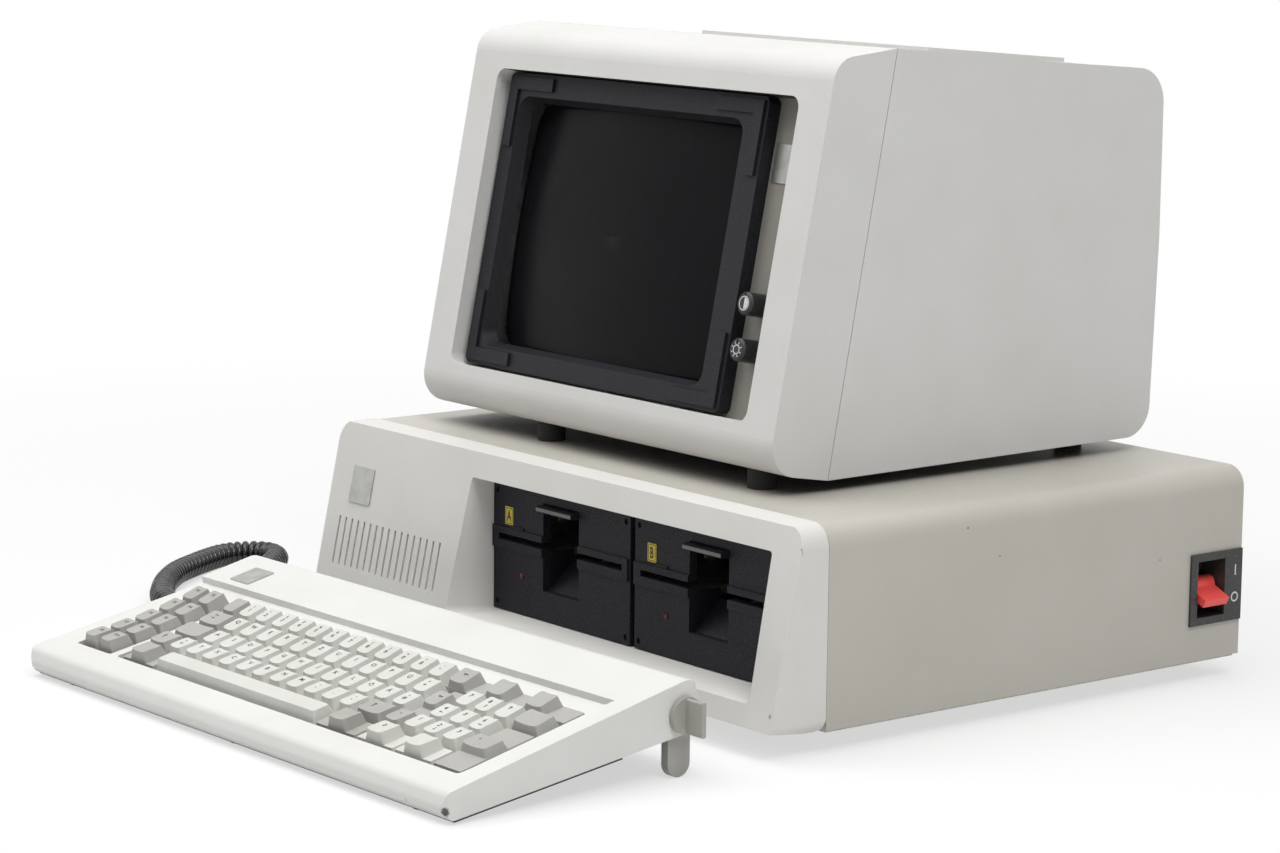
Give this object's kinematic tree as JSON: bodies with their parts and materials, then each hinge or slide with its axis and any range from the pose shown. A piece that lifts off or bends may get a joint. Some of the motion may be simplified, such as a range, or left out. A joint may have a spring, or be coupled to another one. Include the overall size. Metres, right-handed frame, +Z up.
{
  "type": "desktop computer",
  "caption": "Early desktop computer: steel-cased system unit with floppy drives, a tilted picture-tube display on its top and a wedge keyboard on a curly black cord.",
  "frame": {"origin": "on the desk, under the middle of the box around everything but the free cord", "axes": "+Z up; -Y is the side the user sits at and the fronts face; +X to the user's right"},
  "size_m": [0.7154, 0.7547, 0.4193],
  "materials": {
    "cover_metal": "satin textured paint",
    "front_plastic": "fine moulded grain",
    "display_plastic": "fine moulded grain",
    "panel_plastic": "fine moulded grain",
    "zinc_steel": "zinc plated",
    "foot_rubber": "matte",
    "screw_steel": "zinc plated",
    "board_green": "solder mask",
    "drive_black": "fine moulded grain",
    "drive_frame": "die cast",
    "lamp_red": "clear red",
    "fan_black": "moulded",
    "inlet_black": "moulded",
    "paddle_red": "moulded",
    "switch_black": "fine moulded grain",
    "speaker_dark": "paper cone in a steel basket",
    "badge_silver": "brushed plate",
    "mask_black": "fine grain",
    "tube_glass": "dark green-grey faceplate",
    "yoke_copper": "enamelled copper windings, brass standing in",
    "knob_black": "moulded, with a white printed symbol",
    "pot_metal": "zinc plated",
    "keyboard_plastic": "fine moulded grain",
    "key_white": "fine grain, printed legend",
    "key_grey": "fine grain, printed legend",
    "keyboard_steel": "black powder paint",
    "foot_grey": "moulded",
    "cord_black": "glossy vinyl"
  },
  "bodies": {
    "system_unit": {"base_pan": "zinc_steel", "system_cover": "cover_metal", "system_bezel": "front_plastic", "system_feet": "foot_rubber", "cover_screws": "screw_steel", "motherboard": "board_green", "expansion_cards": "board_green", "slot_covers": "zinc_steel", "power_supply": "zinc_steel", "power_inlets": "inlet_black", "switch_frame": "switch_black", "speaker": "speaker_dark", "drive_a_chassis": "drive_frame", "drive_a_faceplate": "drive_black", "drive_b_chassis": "drive_frame", "drive_b_faceplate": "drive_black", "drive_lamps": "lamp_red", "system_badge": "badge_silver", "cord_plug": "inlet_black", "cord_tail": "cord_black", "cord_coil": "cord_black", "cord_lead": "cord_black"},
    "display": {"display_bezel": "display_plastic", "display_shell": "display_plastic", "display_panel": "panel_plastic", "screen_mask": "mask_black", "picture_tube": "tube_glass", "deflection_yoke": "yoke_copper", "display_chassis": "zinc_steel", "display_board": "board_green", "control_pots": "pot_metal", "display_feet": "foot_rubber", "display_badge": "badge_silver"},
    "contrast_knob": {"contrast_knob": "knob_black"},
    "brightness_knob": {"brightness_knob": "knob_black"},
    "keyboard": {"keyboard_case": "keyboard_plastic", "keyboard_base": "keyboard_steel", "keyboard_pads": "foot_rubber", "key_plate": "keyboard_steel", "keyboard_board": "board_green", "keyboard_badge": "badge_silver", "cord_strain_relief": "cord_black"},
    "keyboard_foot_left": {"keyboard_foot_left": "foot_grey"},
    "keyboard_foot_right": {"keyboard_foot_right": "foot_grey"},
    "drive_a_lever": {"drive_a_lever": "drive_black"},
    "drive_b_lever": {"drive_b_lever": "drive_black"},
    "power_switch": {"switch_paddle": "paddle_red"},
    "fan_rotor": {"fan_rotor": "fan_black"},
    "function_keys": {"function_keys": "key_grey"},
    "number_keys": {"number_keys": "key_white"},
    "upper_letter_keys": {"upper_letter_keys": "key_white"},
    "home_letter_keys": {"home_letter_keys": "key_white"},
    "lower_letter_keys": {"lower_letter_keys": "key_white"},
    "space_bar": {"space_bar": "key_white"},
    "enter_key": {"enter_key": "key_grey"},
    "keypad_keys": {"keypad_keys": "key_white"},
    "keypad_sign_keys": {"keypad_sign_keys": "key_grey"},
    "left_grey_keys": {"left_grey_keys": "key_grey"},
    "right_grey_keys": {"right_grey_keys": "key_grey"},
    "lock_keys": {"lock_keys": "key_grey"}
  },
  "joints": [
    {"name": "display_lift", "type": "slide", "parent": "system_unit", "child": "display", "axis": [0, 0, 1], "range_m": [0, 0.12]},
    {"name": "keyboard_slide", "type": "slide", "parent": "system_unit", "child": "keyboard", "axis": [0, -1, 0], "range_m": [0, 0.15]},
    {"name": "contrast_turn", "type": "hinge", "parent": "display", "child": "contrast_knob", "pos_m": [0.10564, 0.01398, 0.25671], "axis": [0, -0.9804, 0.1971], "range_deg": [-150, 150]},
    {"name": "brightness_turn", "type": "hinge", "parent": "display", "child": "brightness_knob", "pos_m": [0.10564, 0.00813, 0.22759], "axis": [0, -0.9804, 0.1971], "range_deg": [-150, 150]},
    {"name": "foot_left_fold", "type": "hinge", "parent": "keyboard", "child": "keyboard_foot_left", "pos_m": [-0.22167, -0.15478, 0.0386], "axis": [-0.9997, -0.0227, 0], "range_deg": [0, 81.8]},
    {"name": "foot_right_fold", "type": "hinge", "parent": "keyboard", "child": "keyboard_foot_right", "pos_m": [0.23422, -0.14444, 0.0386], "axis": [-0.9997, -0.0227, 0], "range_deg": [0, 81.8]},
    {"name": "drive_a_lever_turn", "type": "hinge", "parent": "system_unit", "child": "drive_a_lever", "pos_m": [-0.01486, -0.024, 0.1104], "axis": [1, 0, 0], "range_deg": [0, 88]},
    {"name": "drive_b_lever_turn", "type": "hinge", "parent": "system_unit", "child": "drive_b_lever", "pos_m": [0.13934, -0.024, 0.1104], "axis": [1, 0, 0], "range_deg": [0, 88]},
    {"name": "power_switch_turn", "type": "hinge", "parent": "system_unit", "child": "power_switch", "pos_m": [0.23214, 0.296, 0.0625], "axis": [0, -1, 0], "range_deg": [0, 50]},
    {"name": "fan_spin", "type": "hinge", "parent": "system_unit", "child": "fan_rotor", "pos_m": [0.18014, 0.3084, 0.082], "axis": [0, 1, 0], "continuous": true},
    {"name": "function_keys_press", "type": "slide", "parent": "keyboard", "child": "function_keys", "axis": [-0.0051, 0.2259, -0.9741], "range_m": [0, 0.0038], "stiffness_N_per_m": 400, "springref_m": -0.003},
    {"name": "number_keys_press", "type": "slide", "parent": "keyboard", "child": "number_keys", "axis": [-0.0051, 0.2259, -0.9741], "range_m": [0, 0.0038], "stiffness_N_per_m": 480, "springref_m": -0.003},
    {"name": "upper_letter_keys_press", "type": "slide", "parent": "keyboard", "child": "upper_letter_keys", "axis": [-0.0051, 0.2259, -0.9741], "range_m": [0, 0.0038], "stiffness_N_per_m": 480, "springref_m": -0.003},
    {"name": "home_letter_keys_press", "type": "slide", "parent": "keyboard", "child": "home_letter_keys", "axis": [-0.0051, 0.2259, -0.9741], "range_m": [0, 0.0038], "stiffness_N_per_m": 480, "springref_m": -0.003},
    {"name": "lower_letter_keys_press", "type": "slide", "parent": "keyboard", "child": "lower_letter_keys", "axis": [-0.0051, 0.2259, -0.9741], "range_m": [0, 0.0038], "stiffness_N_per_m": 440, "springref_m": -0.003},
    {"name": "space_bar_press", "type": "slide", "parent": "keyboard", "child": "space_bar", "axis": [-0.0051, 0.2259, -0.9741], "range_m": [0, 0.0038], "stiffness_N_per_m": 150, "springref_m": -0.003},
    {"name": "enter_key_press", "type": "slide", "parent": "keyboard", "child": "enter_key", "axis": [-0.0051, 0.2259, -0.9741], "range_m": [0, 0.0038], "stiffness_N_per_m": 150, "springref_m": -0.003},
    {"name": "keypad_keys_press", "type": "slide", "parent": "keyboard", "child": "keypad_keys", "axis": [-0.0051, 0.2259, -0.9741], "range_m": [0, 0.0038], "stiffness_N_per_m": 440, "springref_m": -0.003},
    {"name": "keypad_sign_keys_press", "type": "slide", "parent": "keyboard", "child": "keypad_sign_keys", "axis": [-0.0051, 0.2259, -0.9741], "range_m": [0, 0.0038], "stiffness_N_per_m": 150, "springref_m": -0.003},
    {"name": "left_grey_keys_press", "type": "slide", "parent": "keyboard", "child": "left_grey_keys", "axis": [-0.0051, 0.2259, -0.9741], "range_m": [0, 0.0038], "stiffness_N_per_m": 200, "springref_m": -0.003},
    {"name": "right_grey_keys_press", "type": "slide", "parent": "keyboard", "child": "right_grey_keys", "axis": [-0.0051, 0.2259, -0.9741], "range_m": [0, 0.0038], "stiffness_N_per_m": 150, "springref_m": -0.003},
    {"name": "lock_keys_press", "type": "slide", "parent": "keyboard", "child": "lock_keys", "axis": [-0.0051, 0.2259, -0.9741], "range_m": [0, 0.0038], "stiffness_N_per_m": 150, "springref_m": -0.003}
  ]
}
